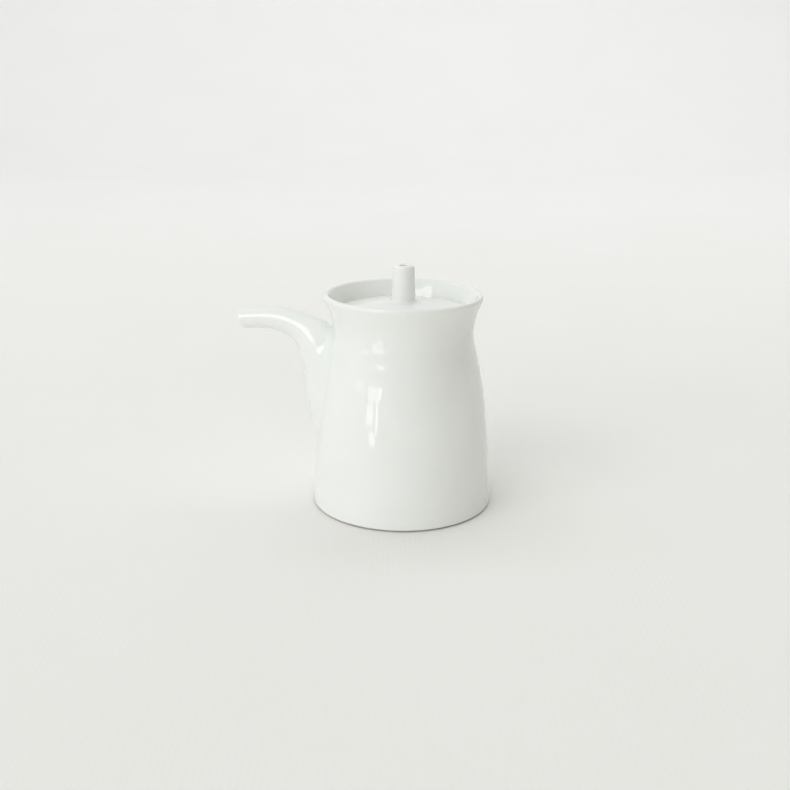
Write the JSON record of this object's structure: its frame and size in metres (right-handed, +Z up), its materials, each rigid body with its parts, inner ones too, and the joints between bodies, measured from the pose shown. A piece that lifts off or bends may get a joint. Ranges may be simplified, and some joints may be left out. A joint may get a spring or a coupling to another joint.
{
  "type": "lidded pouring pot",
  "caption": "Small white porcelain table pot with a waisted body, a curved pouring spout and a vented lid that sits inside the flared mouth.",
  "frame": {"origin": "centre of the flat base, on the surface the pot stands on", "axes": "+Z up along the pot's axis, -X towards the tip of the spout, +Y across the pot"},
  "size_m": [0.0983, 0.068, 0.091],
  "materials": {
    "body_glaze": "gloss white glaze",
    "spout_glaze": "gloss white glaze",
    "lid_glaze": "gloss white glaze",
    "knob_glaze": "gloss white glaze"
  },
  "bodies": {
    "pot": {"pot_body": "body_glaze", "spout": "spout_glaze"},
    "lid": {"lid": "lid_glaze", "lid_knob": "knob_glaze"}
  },
  "joints": [
    {"name": "lid_lift", "type": "slide", "parent": "pot", "child": "lid", "axis": [0, 0, 1], "range_m": [0, 0.04]}
  ]
}
